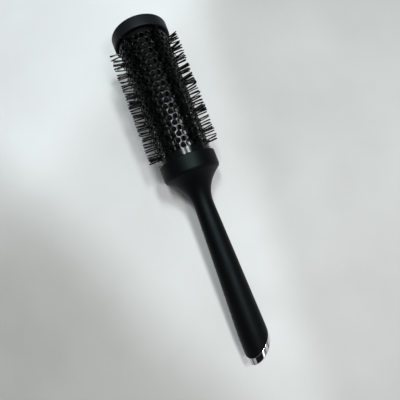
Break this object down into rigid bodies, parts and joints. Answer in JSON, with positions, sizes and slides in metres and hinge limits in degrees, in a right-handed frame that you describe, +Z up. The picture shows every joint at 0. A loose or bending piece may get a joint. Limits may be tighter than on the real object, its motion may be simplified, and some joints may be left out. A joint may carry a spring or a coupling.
{
  "type": "round barrel hair brush",
  "caption": "Round hair brush: perforated barrel with straight bristle rows, flared collar, slim tapered handle and an obliquely cut metal-look butt.",
  "frame": {"origin": "centre of the bounding box's footprint on the surface that the brush lies on", "axes": "+Z up; the brush lies along Y, barrel toward +Y and handle toward -Y, its axis rising about 6.7 degrees toward the barrel"},
  "size_m": [0.0496, 0.2316, 0.057],
  "materials": {
    "soft_touch": "soft-touch rubberised coating, black, satin",
    "cap_plastic": "satin black moulded plastic",
    "black_ceramic": "glossy black ceramic coating on thin aluminium tube",
    "nylon": "black nylon filament",
    "chrome_plate": "polished chrome plating",
    "hard_plastic": "moulded black plastic",
    "steel": "zinc-plated steel",
    "brass": "turned brass"
  },
  "bodies": {
    "root": {"handle_grip": "soft_touch", "handle_core": "hard_plastic", "butt_cap": "chrome_plate", "butt_plug": "hard_plastic", "barrel_tube": "black_ceramic", "end_cap": "cap_plastic", "end_cap_insert": "hard_plastic", "barrel_seat": "hard_plastic", "rear_ring": "hard_plastic", "front_ring": "hard_plastic", "core_hub": "hard_plastic", "tie_washer": "steel", "tie_rod": "steel", "tie_nut": "brass", "bristle_row_1": "nylon", "bristle_row_2": "nylon", "bristle_row_3": "nylon", "bristle_row_4": "nylon", "bristle_row_5": "nylon", "bristle_row_6": "nylon", "bristle_row_7": "nylon"}
  },
  "joints": []
}
